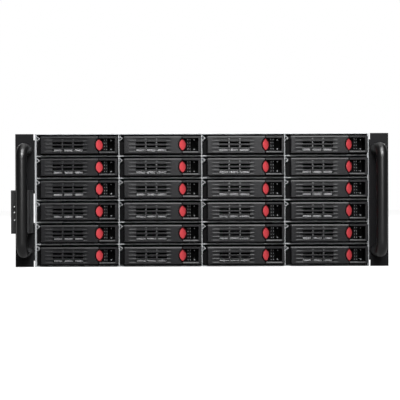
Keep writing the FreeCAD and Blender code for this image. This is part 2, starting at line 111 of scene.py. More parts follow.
def add_node(tree, kind, inputs=None, **settings):
    """Adds a node; an input that is a socket is joined, anything else is set as its value."""
    made = tree.nodes.new(kind)
    for key, value in settings.items():
        setattr(made, key, value)
    for key, value in (inputs or {}).items():
        if isinstance(value, bpy.types.NodeSocket):
            tree.links.new(value, made.inputs[key])
        else:
            made.inputs[key].default_value = value
    return made


def new_finish(name, **values):
    """A Principled material; underscores in the keywords stand for spaces."""
    finish = bpy.data.materials.new(name)
    finish.use_nodes = True
    shader = finish.node_tree.nodes["Principled BSDF"]
    for key, value in values.items():
        shader.inputs[key.replace("_", " ")].default_value = value
    return finish, finish.node_tree, shader


def combine(tree, operation, first, second, kind="ShaderNodeMath"):
    """Two values, or with the vector kind of node two vectors, worked into one."""
    return add_node(tree, kind, {0: first, 1: second}, operation=operation).outputs[0]


def remap(tree, value, target, source=(0.0, 1.0), kind="LINEAR"):
    """A value carried from one range to another, both given as (low, high) pairs."""
    inputs = {"Value": value, "From Min": source[0], "From Max": source[1],
              "To Min": target[0], "To Max": target[1]}
    return add_node(tree, "ShaderNodeMapRange", inputs, interpolation_type=kind).outputs["Result"]


def depth_of(tree, space="Object"):
    """How far back a point lies in the given space."""
    place = add_node(tree, "ShaderNodeTexCoord").outputs[space]
    return add_node(tree, "ShaderNodeSeparateXYZ", {0: place}).outputs["Y"]


# %% [markdown]
# ## The room
# A product picture like this has a white room. The white is not more light: the world shows white to the
# camera, and lights the part at a plain level. Sheet metal mirrors the white behind it, and towards the
# front the room is dim, so black plastic stays black. A plain white world would be simpler, but every black
# face would mirror it and turn grey.

# %% World
WHITE = (1, 1, 1, 1)
AMBIENT, DIM_FRONT, BRIGHT_BACK = 0.24, 0.02, 0.6
BACK_RANGE = (0.5, 1.0)


def ray_share(tree):
    """Sockets for camera rays, and for mirror or see-through rays."""
    path = add_node(tree, "ShaderNodeLightPath").outputs
    return path["Is Camera Ray"], combine(tree, "MAXIMUM", path["Is Glossy Ray"], path["Is Transmission Ray"])


world = bpy.data.worlds.new("white_room")
SCENE.world = world
world.use_nodes = True
tree = world.node_tree
background = tree.nodes["Background"]
seen, shiny = ray_share(tree)
behind = remap(tree, depth_of(tree, "Generated"), (DIM_FRONT, BRIGHT_BACK), BACK_RANGE, "SMOOTHSTEP")
mirrored = add_node(tree, "ShaderNodeMix", {"Factor": shiny, "A": AMBIENT, "B": behind}).outputs["Result"]
strength = add_node(tree, "ShaderNodeMix", {"Factor": seen, "A": mirrored, "B": 1.0}).outputs["Result"]
tree.links.new(strength, background.inputs["Strength"])
background.inputs["Color"].default_value = WHITE
print("room: mirrors see", DIM_FRONT, "in front and", BRIGHT_BACK, "behind")

# %% [markdown]
# ## The floor
# The part stands on a white floor with a faint shadow. The floor works like the world: white to the camera
# and to mirrors further back, a plain grey to all other light. It lies a hair below, so that no two faces
# share a plane.

# %% Floor
FLOOR_DROP, FLOOR_HALF, FLOOR_CELLS = 0.0004, 6.0, 4
FLOOR_FADE, FLOOR_MIRROR = (0.1, 0.9), (0.1, 1.0)
FLOOR_PLAIN, FLOOR_WHITE, FLOOR_GLOW = (0.14, 0.14, 0.14, 1), (0.36, 0.36, 0.36, 1), 0.87

floor_mesh = bpy.data.meshes.new("floor")
shape = bmesh.new()
bmesh.ops.create_grid(shape, x_segments=FLOOR_CELLS, y_segments=FLOOR_CELLS, size=FLOOR_HALF)
shape.to_mesh(floor_mesh)
shape.free()
floor = bpy.data.objects.new("floor", floor_mesh)
floor.location.z = CAD_BOX[0].z - FLOOR_DROP
SCENE.collection.objects.link(floor)

floor_paint = bpy.data.materials.new("floor_paint")
floor_paint.use_nodes = True
tree = floor_paint.node_tree
tree.nodes.remove(tree.nodes["Principled BSDF"])
seen, shiny = ray_share(tree)
beyond = remap(tree, depth_of(tree), FLOOR_MIRROR, FLOOR_FADE, "SMOOTHSTEP")
shows = combine(tree, "MAXIMUM", seen, combine(tree, "MULTIPLY", shiny, beyond))
plain = add_node(tree, "ShaderNodeBsdfDiffuse", {"Color": FLOOR_PLAIN})
faint = add_node(tree, "ShaderNodeBsdfDiffuse", {"Color": FLOOR_WHITE})
glow = add_node(tree, "ShaderNodeEmission", {"Color": WHITE, "Strength": FLOOR_GLOW})
white = add_node(tree, "ShaderNodeAddShader", {0: faint.outputs[0], 1: glow.outputs[0]})
paint = add_node(tree, "ShaderNodeMixShader", {0: shows, 1: plain.outputs[0], 2: white.outputs[0]})
tree.links.new(paint.outputs[0], tree.nodes["Material Output"].inputs["Surface"])
floor_mesh.materials.append(floor_paint)
print("floor", FLOOR_DROP / MM, "mm below the part")

# %% [markdown]
# ## The lamps
# Soft lamps do the drawing. The key light shapes the front, a strip just over the camera
# draws the upright streak on each handle, and a light almost overhead draws a bright line on every upper
# edge. Three weak ones show the top and the back. One large lamp would be softer, but draw no edges.

# %% Lamps
AIM = Vector((0.0, 0.0, 0.09))
LAMPS = (("key_high", (0.12, -1.0, 0.86), (0.5, 0.36), 19.5),
         ("fill_front", (0.1, -1.35, 0.36), (0.5, 0.26), 3.2),
         ("edge_above", (0.12, -0.55, 1.2), (0.9, 0.35), 13.0),
         ("top", (0.2, 0.8, 2.6), (2.0, 2.0), 14.0),
         ("rear_left", (-0.9, 3.0, 1.2), (1.5, 1.0), 12.0),
         ("rear_right", (0.9, 3.0, 1.2), (1.5, 1.0), 12.0))

for name, place, (wide, high), watts in LAMPS:
    data = bpy.data.lights.new(name, "AREA")
    data.shape = "RECTANGLE"
    data.size, data.size_y, data.energy = wide, high, watts
    lamp = bpy.data.objects.new(name, data)
    lamp.location = place
    lamp.rotation_euler = (AIM - Vector(place)).to_track_quat("-Z", "Y").to_euler()
    lamp.visible_camera = False
    SCENE.collection.objects.link(lamp)
    print("lamp", name, watts, "W")

# %% [markdown]
# ## Sheet steel
# The case and the cage are folded from zinc-coated steel. Its coat crystallises in flat flakes, so the
# sheet is a patchwork of slightly different greys, and the rolling leaves faint long lines. The front edges
# of the cage are paler: partly bare cut steel, partly a painted highlight where they catch the light. A
# picture of steel would do that too, but a pattern made from noise has no seams and suits every sheet.

# %% Pattern helpers
def surface_place(tree):
    """The place on the piece itself, moved a little for each piece so that no two look alike."""
    place = add_node(tree, "ShaderNodeTexCoord").outputs["Object"]
    return combine(tree, "ADD", place, add_node(tree, "ShaderNodeObjectInfo").outputs["Random"], VECTOR)


def noise(tree, place, scale, detail):
    """The outputs of a cloudy pattern."""
    return add_node(tree, "ShaderNodeTexNoise", {"Vector": place, "Scale": scale, "Detail": detail}).outputs


def blend(tree, factor, first, second):
    """A colour between two others, each a colour or a socket."""
    mix = add_node(tree, "ShaderNodeMix", {"Factor": factor, "A": first, "B": second}, data_type="RGBA")
    return next(s for s in mix.outputs if s.type == "RGBA")


def tone_between(tree, factor, dark, light):
    """A colour that runs from dark to light with a grey pattern."""
    return blend(tree, factor, (*dark, 1), (*light, 1))


def set_rough(tree, shader, pattern, rough, spread):
    """Roughness that wanders around a value with a pattern."""
    tree.links.new(remap(tree, pattern, (rough - spread, rough + spread)), shader.inputs["Roughness"])


def set_bump(tree, shader, height, strength, deep):
    """Fine relief from a pattern."""
    bump = add_node(tree, "ShaderNodeBump", {"Height": height, "Strength": strength, "Distance": deep})
    tree.links.new(bump.outputs[0], shader.inputs["Normal"])


# %% [markdown]
# ## Steel, mixed
# Cells of a Voronoi pattern are the flakes, and a cloud moves their borders so that they are ragged. The
# case, the cage and the sleds differ a little in tone. The low wall of a sled is near white, which is painted
# light: it stands in for the light that falls on it through the slots of the lever.

# %% Steel finishes
CUT_EDGE_AND_HIGHLIGHT = (0.38, 0.39, 0.40), (0.48, 0.49, 0.50)
TEAR = 0.6
CLOUD_SCALE, CLOUD_SHARE = 9.0, 0.45
STEEL_SHINE, STEEL_SPREAD = 0.2, 0.05
ROLL_LINES, ROLL_STRENGTH, ROLL_DEEP = (900.0, 25.0, 900.0), 0.12, 0.0002


def steel_finish(name, dark, light, flake, rough, metal, bare_and_lit=None):
    """Zinc-coated sheet; the last argument gives the depths between which its front edges turn paler, partly
    as bare cut steel and partly as a painted highlight.
    """
    finish, tree, shader = new_finish(name, Metallic=metal, Specular_IOR_Level=STEEL_SHINE)
    place = surface_place(tree)
    ragged = noise(tree, place, TEAR / flake, detail=3.0)["Color"]
    torn = combine(tree, "MULTIPLY", ragged, (flake, flake, flake), VECTOR)
    moved = combine(tree, "ADD", place, torn, VECTOR)
    flakes = add_node(tree, "ShaderNodeTexVoronoi", {"Vector": moved, "Scale": 1 / flake})
    grey = add_node(tree, "ShaderNodeSeparateColor", {0: flakes.outputs["Color"]}).outputs[0]
    cloud = noise(tree, place, CLOUD_SCALE, detail=3.0)["Fac"]
    both = add_node(tree, "ShaderNodeMix", {"Factor": CLOUD_SHARE, "A": grey, "B": cloud}).outputs["Result"]
    colour = tone_between(tree, both, dark, light)
    # partly painted highlight: the front band turns paler, as bare cut steel and as the light its edges catch
    if bare_and_lit:
        edge = remap(tree, depth_of(tree), (1.0, 0.0), bare_and_lit)
        colour = blend(tree, edge, colour, tone_between(tree, both, *CUT_EDGE_AND_HIGHLIGHT))
    tree.links.new(colour, shader.inputs["Base Color"])
    set_rough(tree, shader, both, rough, STEEL_SPREAD)
    stretch = add_node(tree, "ShaderNodeMapping", {"Vector": place, "Scale": ROLL_LINES}).outputs[0]
    set_bump(tree, shader, noise(tree, stretch, scale=1.0, detail=2.0)["Fac"], ROLL_STRENGTH, ROLL_DEEP)
    return finish


CASE_STEEL = steel_finish(
    "zinc_case", (0.30, 0.31, 0.32), (0.42, 0.43, 0.44),
    flake=0.006, rough=0.72, metal=0.45)
CAGE_STEEL = steel_finish(
    "zinc_cage", (0.29, 0.30, 0.31), (0.41, 0.42, 0.43),
    flake=0.005, rough=0.70, metal=0.45, bare_and_lit=(0.001, 0.003))
SLED_STEEL = steel_finish(
    "zinc_sled", (0.34, 0.35, 0.36), (0.46, 0.47, 0.48),
    flake=0.004, rough=0.62, metal=0.5)
# painted light: a near-white tone for the sled's low wall, standing in for light through the lever's slots
WALL_PAINTED_LIGHT = steel_finish(
    "bright_lip", (0.72, 0.72, 0.73), (0.88, 0.88, 0.89),
    flake=0.006, rough=0.5, metal=0.05)
print("steels mixed:", len(bpy.data.materials), "materials so far")

# %% [markdown]
# ## Black finishes
# Four different blacks meet on the front: powder paint on the ears, satin paint on the handles, moulded
# plastic on the levers and a darker, rougher black on the faces set back around them, whose darker tone is
# painted shade. They are told apart by how coarse their grain is and how they shine, much more than by
# colour, so each has its own grain size and roughness.

# %% Paint and plastic
GRAIN_CLOUD, GRAIN_SPREAD, GRAIN_STRENGTH = 45.0, 0.06, 0.25


def grained_finish(name, dark, light, grain, depth, rough, shine=0.5, metal=0.0):
    """Paint or moulded plastic: a slow change of tone and a fine raised grain."""
    finish, tree, shader = new_finish(name, Metallic=metal, Specular_IOR_Level=shine)
    place = surface_place(tree)
    cloud = noise(tree, place, GRAIN_CLOUD, detail=4.0)["Fac"]
    tree.links.new(tone_between(tree, cloud, dark, light), shader.inputs["Base Color"])
    pebbles = noise(tree, place, 1 / grain, detail=2.0)["Fac"]
    set_rough(tree, shader, pebbles, rough, GRAIN_SPREAD)
    set_bump(tree, shader, pebbles, GRAIN_STRENGTH, depth)
    return finish


EAR_PAINT = grained_finish(
    "ear_powder_paint", (0.004, 0.004, 0.0046), (0.007, 0.007, 0.0077),
    grain=0.0011, depth=0.0002, rough=0.52, shine=0.13)
HANDLE_PAINT = grained_finish(
    "handle_satin_paint", (0.0015, 0.0015, 0.0017), (0.003, 0.003, 0.0032),
    grain=0.0008, depth=0.00006, rough=0.34, shine=0.62)
MODULE_PLASTIC = grained_finish(
    "module_plastic", (0.014, 0.014, 0.015), (0.022, 0.022, 0.023),
    grain=0.0007, depth=0.0001, rough=0.5, shine=0.35)
LEVER_PLASTIC = grained_finish(
    "lever_plastic", (0.007, 0.007, 0.0078), (0.011, 0.011, 0.0121),
    grain=0.0006, depth=0.00006, rough=0.34, shine=0.28)
# painted shade: this darker black stands in for the shade on the bezel's set-back faces and in its pocket
BEZEL_SHADE_PLASTIC = grained_finish(
    "bezel_plastic", (0.002, 0.002, 0.0022), (0.0035, 0.0035, 0.0038),
    grain=0.0006, depth=0.0001, rough=0.55, shine=0.06)
FAN_PLASTIC = grained_finish(
    "fan_plastic", (0.010, 0.010, 0.011), (0.018, 0.018, 0.019),
    grain=0.0009, depth=0.0001, rough=0.5, shine=0.35)
print("blacks mixed:", len(bpy.data.materials), "materials so far")

# %% [markdown]
# ## Colours
# Release buttons are red, and the darker rim around them is painted shade of the gap they sit in. Light
# pipes are clear and look grey against the black, and the lamps are white. All are moulded plastic, so the
# same recipe serves.

# %% Red, clear and white
BUTTON_RED = grained_finish(
    "button_red", (0.43, 0.039, 0.047), (0.50, 0.052, 0.061),
    grain=0.0005, depth=0.00004, rough=0.38, shine=0.45)
# painted shade: a dark red for the button's outer rings, standing in for the shadow of the gap around it
BUTTON_RIM_SHADE = grained_finish(
    "button_rim_red", (0.05, 0.004, 0.005), (0.08, 0.006, 0.008),
    grain=0.0005, depth=0.00004, rough=0.45, shine=0.35)
PIPE_CLEAR = grained_finish(
    "light_pipe", (0.14, 0.145, 0.15), (0.2, 0.205, 0.21),
    grain=0.0009, depth=0.00003, rough=0.22, shine=0.5)
LAMP_WHITE = grained_finish(
    "lamp_white", (0.78, 0.79, 0.80), (0.88, 0.89, 0.90),
    grain=0.0009, depth=0.00003, rough=0.25, shine=0.5)
print("colours mixed:", len(bpy.data.materials), "materials so far")

# %% [markdown]
# ## Circuit boards
# The backplanes are green boards with black sockets in one CAD piece. A second material slot isn't needed:
# the sockets stand in front of the board, so the depth of a point says which of the two it belongs to.

# %% Board finish
BOARD_THICK, BOARD_SLACK = 1.6 * MM, 1.01
TRACK_SCALE = 160.0
GREENS = (0.012, 0.075, 0.032), (0.022, 0.12, 0.05)
SOCKET_BLACK = (0.012, 0.012, 0.013, 1)
SOCKET_ROUGH, BOARD_ROUGH = 0.55, 0.32

board_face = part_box("backplanes")[1].y - BOARD_THICK * BOARD_SLACK
BOARD_GREEN, tree, shader = new_finish("backplane_board", Specular_IOR_Level=0.5)
place = add_node(tree, "ShaderNodeTexCoord").outputs["Object"]
on_board = combine(tree, "GREATER_THAN", depth_of(tree), board_face)
tracks = add_node(tree, "ShaderNodeTexBrick", {"Vector": place, "Scale": TRACK_SCALE}).outputs["Fac"]
etched = tone_between(tree, tracks, *GREENS)
tree.links.new(blend(tree, on_board, SOCKET_BLACK, etched), shader.inputs["Base Color"])
tree.links.new(remap(tree, on_board, (SOCKET_ROUGH, BOARD_ROUGH)), shader.inputs["Roughness"])
print("board is green behind", round(board_face / MM, 2), "mm")

# %% [markdown]
# ## Sheet metal pieces that stay
# The CAD shapes of the case, cage, ears and boards are right, so they stay and get a finish. Real sheet is
# never razor sharp: its cut edges carry a small radius that catches a thin line of light. Modifiers add it
# without touching the CAD mesh: weld the corners, dissolve the triangles of flat faces, round the edges.
# The case stays sharp, because its sheets meet edge to edge and a radius there would leave torn faces.

# %% Dress the CAD nodes
WELD_WITHIN, FLAT_WITHIN = 0.002, 1.0
NODE_SHARP, NODE_SEGMENTS = 35.0, 2
NODE_FINISHES = (
    ("base_pan", CASE_STEEL, 0.0), ("top_cover", CASE_STEEL, 0.25), ("drive_cage", CAGE_STEEL, 0.2),
    ("rack_ears", EAR_PAINT, 0.4), ("control_module", MODULE_PLASTIC, 0.5),
    ("backplanes", BOARD_GREEN, 0.15), ("fan_wall", FAN_PLASTIC, 0.4))


def round_edges(made, radius, segments, sharper_than):
    """Modifiers for a radius in mm on edges that turn by more than an angle, and for even shading."""
    edge = made.modifiers.new("edge_radius", "BEVEL")
    edge.width = radius * MM
    edge.segments = segments
    edge.limit_method = "ANGLE"
    edge.angle_limit = math.radians(sharper_than)
    made.modifiers.new("even_shading", "WEIGHTED_NORMAL").keep_sharp = False


for name, finish, radius in NODE_FINISHES:
    node = NODES[name]
    node.data.materials.clear()
    node.data.materials.append(finish)
    node.modifiers.new("weld", "WELD").merge_threshold = WELD_WITHIN * MM
    flat = node.modifiers.new("flat_faces", "DECIMATE")
    flat.decimate_type = "DISSOLVE"
    flat.angle_limit = math.radians(FLAT_WITHIN)
    node.data.polygons.foreach_set("use_smooth", [radius > 0] * len(node.data.polygons))
    if radius > 0:
        round_edges(node, radius, NODE_SEGMENTS, NODE_SHARP)
    print("dressed", name, "with a radius of", radius, "mm")

# %% [markdown]
# ## Making small moulded pieces
# Levers, bezels and sleds are drawn like a toolmaker draws them: an outline is pulled into a solid, and
# other outlines cut windows and pockets out of it. Modelling each face by hand would give the same shape
# with far more lines.

# %% Outlines and solids
OVER = 1.0  # a cutter reaches this far past the face it cuts, in mm


def circle(x, y, radius, sides=24):
    """Points of a circle."""
    turns = [2 * math.pi * k / sides for k in range(sides)]
    return [(x + radius * math.cos(t), y + radius * math.sin(t)) for t in turns]


def past(span):
    """A span made longer at both ends, for cutting right through."""
    return span[0] - OVER, span[1] + OVER


def join(shape, near, far):
    """Faces between two rings of points."""
    return [shape.faces.new([near[k - 1], near[k], far[k], far[k - 1]]) for k in range(len(near))]


def pull(shape, outline, axis, span):
    """Pulls an outline in mm along an axis; the outline has the other two axes in X, Y, Z order."""
    def point(pair, depth):
        values = list(pair)
        values.insert("XYZ".index(axis), depth)
        return Vector(values) * MM

    near, far = [[shape.verts.new(point(pair, depth)) for pair in outline] for depth in span]
    faces = [shape.faces.new(near), shape.faces.new(far), *join(shape, near, far)]
    bmesh.ops.recalc_face_normals(shape, faces=faces)
    return shape


def block(shape, x, y, z):
    """A box from three (low, high) pairs in mm."""
    return pull(shape, [(x[0], y[0]), (x[1], y[0]), (x[1], y[1]), (x[0], y[1])], "Z", z)


# %% [markdown]
# ## Cutting and rounding
# Blender's exact Boolean and Bevel modifiers do the cutting and rounding, and the result is kept as one mesh
# that all 24 trays share. The bevel never grows past the shortest edge of a mesh, so a piece with very short
# edges stays almost sharp. Every piece rides on a body of the frame, so it moves as the CAD piece does.

# %% Cut, round and place
SAME_POINT, SAME_PLANE = 0.001 * MM, math.radians(0.5)
PIECE_SHARP = 30.0


def as_mesh(name, shape):
    """A mesh that takes over the shape."""
    mesh = bpy.data.meshes.new(name)
    shape.to_mesh(mesh)
    shape.free()
    return mesh


def coated(mesh, *finishes):
    """The mesh with its finishes."""
    for finish in finishes:
        mesh.materials.append(finish)
    return mesh


def as_object(name, shape):
    """A scene object that owns the shape."""
    made = bpy.data.objects.new(name, as_mesh(name, shape))
    SCENE.collection.objects.link(made)
    return made


def solved(made, *others):
    """The mesh of an object with its modifiers worked in; the object and its helpers are removed."""
    bpy.context.view_layer.update()
    mesh = bpy.data.meshes.new_from_object(made.evaluated_get(bpy.context.evaluated_depsgraph_get()))
    mesh.name = made.name
    for old in (made, *others):
        data = old.data
        bpy.data.objects.remove(old)
        bpy.data.meshes.remove(data)
    return mesh


def rounded_off(made, radius, segments):
    """The mesh of an object with a radius in mm on its sharp edges and even shading."""
    made.data.polygons.foreach_set("use_smooth", [True] * len(made.data.polygons))
    round_edges(made, radius, segments, PIECE_SHARP)
    return solved(made)


def moulded(name, body, cuts, radius, segments=2):
    """Cuts one shape out of another and rounds the edges by a radius in mm."""
    made, tools = as_object(name, body), as_object(name + "_cuts", cuts)
    carve = made.modifiers.new("carve", "BOOLEAN")
    carve.object = tools
    carve.operation = "DIFFERENCE"
    carve.solver = "EXACT"
    carve.use_self = True
    made = bpy.data.objects.new(name, solved(made, tools))
    SCENE.collection.objects.link(made)
    clean = bmesh.new()
    clean.from_mesh(made.data)
    bmesh.ops.remove_doubles(clean, verts=clean.verts, dist=SAME_POINT)
    bmesh.ops.dissolve_limit(clean, angle_limit=SAME_PLANE, verts=clean.verts, edges=clean.edges)
    clean.to_mesh(made.data)
    clean.free()
    return rounded_off(made, radius, segments)


def piece(name, mesh, body, place=(0.0, 0.0, 0.0)):
    """Puts a mesh in the scene, riding on a body."""
    made = bpy.data.objects.new(name, mesh)
    made.location = place
    SCENE.collection.objects.link(made)
    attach(made, body)
    return made


# %% [markdown]
# ## Where the trays are
# All trays are alike, so each piece of a tray is made once, measured from the lower left corner of its bay,
# and shown 24 times. The CAD tray stands a known gap away from that corner, which gives the corners back.

# %% Bays
TRAY_SIDE_GAP, TRAY_FLOOR_GAP = 0.6, 0.3
PLACES = ["r%dc%d" % (row, column) for row in range(1, 7) for column in range(1, 5)]
CORNERS = {}
for name in PLACES:
    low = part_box("tray_" + name)[0]
    CORNERS[name] = Vector((low.x - TRAY_SIDE_GAP * MM, 0.0, low.z - TRAY_FLOOR_GAP * MM))


def from_corner(node):
    """A first-tray node's box in mm, measured from the corner of its bay."""
    low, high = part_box(node)
    return (low - CORNERS["r1c1"]) / MM, (high - CORNERS["r1c1"]) / MM


lever_low, lever_high = from_corner("lever_r1c1")
tray_low, tray_high = from_corner("tray_r1c1")
for name, box in (("lever", (*lever_low, *lever_high)), ("tray", (*tray_low, *tray_high))):
    print(name, [round(v, 2) for v in box])

# %% [markdown]
# ## The pull lever
# Each tray is drawn out by a hinged lever as wide as a hand: a moulded channel, open to the back, with four
# rows of air slots. The slots start as shallow ramps and the lower three break through to the tray in the
# middle, where two ribs divide them. A bump in the material could fake them from the front, but real cuts
# let the bright sled show through.

# %% Lever sizes
FRONT, BACK = lever_low.y, lever_high.y
AHEAD = FRONT - OVER
HEEL, END = lever_low.x, lever_high.x
LOW, HIGH = lever_low.z, lever_high.z
LEFT, HEEL_CUT = 7.4, 2.5
NOSE, NOSE_TALL = 1.0, 1.6
SKIN, WALL, BLIND_SHARE = 2.4, 1.6, 0.75
HALF_SKIN = FRONT + SKIN / 2
LEVER_EDGE = 0.16
HINGE, PIN, LEVER_BORE, KNUCKLE_BORE = (8.5, -4.0), 0.8, 0.95, 0.85
SLOT_MARGIN, SLOT_TALL, SLOT_LIP = 3.8, 2.4, 0.3
SLOT_COUNT, OPEN_ROWS = 4, 3
RAMP_LIP, RAMP_LIP_DEEP, LIP_SHORT = 0.8, 0.5, 2.0
SLOT_RISE = HIGH - LOW - 2 * SLOT_MARGIN
SLOT_ROWS = [LOW + SLOT_MARGIN + k * SLOT_RISE / (SLOT_COUNT - 1) for k in range(SLOT_COUNT)]
OPEN_Z = (SLOT_ROWS[0] - SLOT_TALL / 2, SLOT_ROWS[OPEN_ROWS - 1] + SLOT_TALL / 2)
RAMP = (11.1, 22.0, 61.3, 68.5)
WINDOWS, RIB, RIB_LEAN, RIB_LAP = 3, 1.8, 0.8, 0.02
WINDOW = (RAMP[2] - RAMP[1] - (WINDOWS - 1) * RIB) / WINDOWS
POCKET_Z = (LOW + 2.5, HIGH - 2.4)
EYE_AT = (END + 0.9, (POCKET_Z[0] + POCKET_Z[1]) / 2)
EYE_WIDE, EYE_TALL, EYE_RING = 9.2, POCKET_Z[1] - POCKET_Z[0] - 0.6, 1.2
GAP, PARTING = 0.5, 0.4
print("lever", round(END - HEEL, 2), "mm long, slots at", [round(z, 2) for z in SLOT_ROWS])

# %% [markdown]
# ## Outlines of the lever
# The eye of the button is two equal arcs, which also give the lever the notch around it. A slot is drawn
# window by window, seen from above, so that the ribs between the windows are what is left standing.

# %% Eye and slots
def arc(x, y, radius, start, stop, steps):
    """Points on part of a circle, angles in degrees."""
    turns = [math.radians(start + (stop - start) * k / steps) for k in range(steps + 1)]
    return [(x + radius * math.cos(t), y + radius * math.sin(t)) for t in turns]


def eye(grow=0.0, steps=14):
    """The outline of the release button: two equal arcs that meet in an upper and a lower tip."""
    half, tall = EYE_WIDE / 2 + grow, EYE_TALL / 2 + grow
    radius = (half ** 2 + tall ** 2) / (2 * half)
    sweep = math.degrees(math.asin(tall / radius))
    x, z = EYE_AT
    right = arc(x + half - radius, z, radius, -sweep, sweep, steps)
    left = arc(x - half + radius, z, radius, 180 - sweep, 180 + sweep, steps)
    return right[:-1] + left[:-1]


def window_x(k):
    """Left and right edge of one of the windows, counted from the left."""
    left = RAMP[1] + k * (WINDOW + RIB)
    return left, left + WINDOW


def slot_plan(k, deep):
    """One window of a slot seen from above; the first and the last one run out in a ramp."""
    left, right = window_x(k)
    plan = [(left, deep), (left, AHEAD), (right, AHEAD), (right, deep)]
    if k == 0:
        plan[1:2] = [(left, HALF_SKIN), (RAMP[0], FRONT), (RAMP[0], AHEAD)]
    if k == WINDOWS - 1:
        plan[-2:-1] = [(RAMP[3], AHEAD), (RAMP[3], FRONT), (right, HALF_SKIN)]
    return plan


def cut_slot(cuts, z, deep):
    """Cuts one slot: its windows, the lean of its ribs, its lips and the sills of its ramps."""
    low, high = z - SLOT_TALL / 2, z + SLOT_TALL / 2
    for k in range(WINDOWS):
        pull(cuts, slot_plan(k, deep), "Z", (low, high))
    lean = [(AHEAD, low), (AHEAD, high), (FRONT + RIB_LEAN, high), (FRONT, low)]
    for k in range(WINDOWS - 1):
        pull(cuts, lean, "X", (window_x(k)[1] - RIB_LAP, window_x(k + 1)[0] + RIB_LAP))
    lips = [(AHEAD, low - SLOT_LIP - OVER), (AHEAD, high + SLOT_LIP + OVER),
            (FRONT + SLOT_LIP, high), (FRONT + SLOT_LIP, low)]
    pull(cuts, lips, "X", (RAMP[0] + LIP_SHORT, RAMP[3] - LIP_SHORT))
    slope = RAMP_LIP / RAMP_LIP_DEEP
    sill = [(AHEAD, low - RAMP_LIP - slope * OVER), (AHEAD, low), (FRONT + RAMP_LIP_DEEP, low)]
    for ends in ((RAMP[0] + LIP_SHORT, RAMP[1]), (RAMP[2], RAMP[3] - LIP_SHORT)):
        pull(cuts, sill, "X", ends)


# %% [markdown]
# ## Moulding the lever
# The section of the channel is pulled from heel to end. Then come the hollow behind, the cut-off heel, the
# slanted left side, the slots, the window behind them, the notch for the eye and the bore of the hinge.

# %% Lever
section = [(BACK, LOW), (BACK, HIGH), (FRONT + NOSE, HIGH), (FRONT, HIGH - NOSE_TALL), (FRONT, LOW)]
body = pull(bmesh.new(), section, "X", (HEEL, END - PARTING))
cuts = bmesh.new()
block(cuts, (HEEL - OVER, END - PARTING - WALL), (FRONT + SKIN, BACK + OVER), (LOW + WALL, HIGH - WALL))
heel_cut = [(HEEL - OVER, BACK + OVER), (HEEL - OVER, BACK - HEEL_CUT), (HEEL + HEEL_CUT, BACK + OVER)]
pull(cuts, heel_cut, "Z", past((LOW, HIGH)))
left_side = [(HEEL - OVER, AHEAD), (LEFT, AHEAD), (LEFT, FRONT), (HEEL, HINGE[1]),
             (HEEL - OVER, HINGE[1])]
pull(cuts, left_side, "Z", past((LOW, HIGH)))
for row, z in enumerate(SLOT_ROWS):
    cut_slot(cuts, z, FRONT + SKIN + OVER if row < OPEN_ROWS else FRONT + BLIND_SHARE * SKIN)
block(cuts, (RAMP[1], RAMP[2]), (HALF_SKIN, FRONT + SKIN + OVER), OPEN_Z)
pull(cuts, eye(EYE_RING), "Y", past((FRONT, BACK)))
pull(cuts, circle(*HINGE, LEVER_BORE), "Z", past((LOW, HIGH)))
lever_mesh = coated(moulded("lever", body, cuts, LEVER_EDGE), LEVER_PLASTIC)
for name in PLACES:
    made = piece("pull_lever_" + name, lever_mesh, "lever_" + name, CORNERS[name])
    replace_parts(made, "lever_" + name)
print("lever mesh:", len(lever_mesh.polygons), "faces")

# %% [markdown]
# ## The tray bezel
# Behind the lever sits the tray's own front: a plate with three air windows, the knuckle of the hinge and,
# at the right, a deep black pocket for the finger with a vent block beside it. It is drawn as one solid,
# because on the real tray it is one moulding, and the faces set back from the front get the darker finish,
# which is painted shade of the recesses.

# %% Bezel
PLATE, PLATE_LOW = (BACK + GAP, BACK + GAP + 3.0), 0.9
LIP, SHADE_BEHIND = FRONT + 0.5, 1.6
SPLIT = END + GAP + PARTING
SIDE, RIGHT = tray_low.x, tray_high.x
POCKET_X, POCKET_END, SHELL = (87.0, 102.3), LIP + 20.0, 1.5
VENT_END, VENT_FRONT = 92.4, FRONT + 3.6
KNUCKLE, KNUCKLE_INSET = 2.2, 1.9
LUG_ROOM_X, LUG_ROOM_Z = 4.5, 18.3
LEDGE, LEDGE_SLOPE = 1.4, 1.6
BEZEL_EDGE = 0.18

pocket = (POCKET_X[0] - SHELL, POCKET_X[1] + SHELL)
plan = [(SIDE, PLATE[0]), (SPLIT, PLATE[0]), (SPLIT, LIP), (RIGHT, LIP), (RIGHT, PLATE[1]),
        (pocket[1], PLATE[1]), (pocket[1], POCKET_END + SHELL), (pocket[0], POCKET_END + SHELL),
        (pocket[0], PLATE[1]), (SIDE, PLATE[1])]
body = pull(bmesh.new(), plan, "Z", (PLATE_LOW, HIGH))
block(body, (HINGE[0] - KNUCKLE, HINGE[0] + KNUCKLE), (HINGE[1] - KNUCKLE, PLATE[0] + OVER),
      (LOW + KNUCKLE_INSET, HIGH - KNUCKLE_INSET))
cuts = bmesh.new()
block(cuts, (SPLIT - OVER, RIGHT + OVER), (LIP - OVER, PLATE[0]), (PLATE_LOW - OVER, LOW))
block(cuts, (SPLIT - OVER, POCKET_X[0]), (LIP - OVER, PLATE[0]), POCKET_Z)
block(cuts, (POCKET_X[0], VENT_END), (LIP - OVER, VENT_FRONT), POCKET_Z)
block(cuts, (VENT_END, POCKET_X[1]), (LIP - OVER, POCKET_END), POCKET_Z)
block(cuts, (SIDE - OVER, LUG_ROOM_X), past(PLATE), (LUG_ROOM_Z, HIGH + OVER))
for k in range(WINDOWS):
    block(cuts, window_x(k), past(PLATE), OPEN_Z)
ledge_top = POCKET_Z[0] + LEDGE_SLOPE * OVER
ledge = [(LIP - OVER, POCKET_Z[0] - LEDGE - LEDGE_SLOPE * OVER), (LIP - OVER, ledge_top),
         (LIP + LEDGE / LEDGE_SLOPE + OVER, ledge_top)]
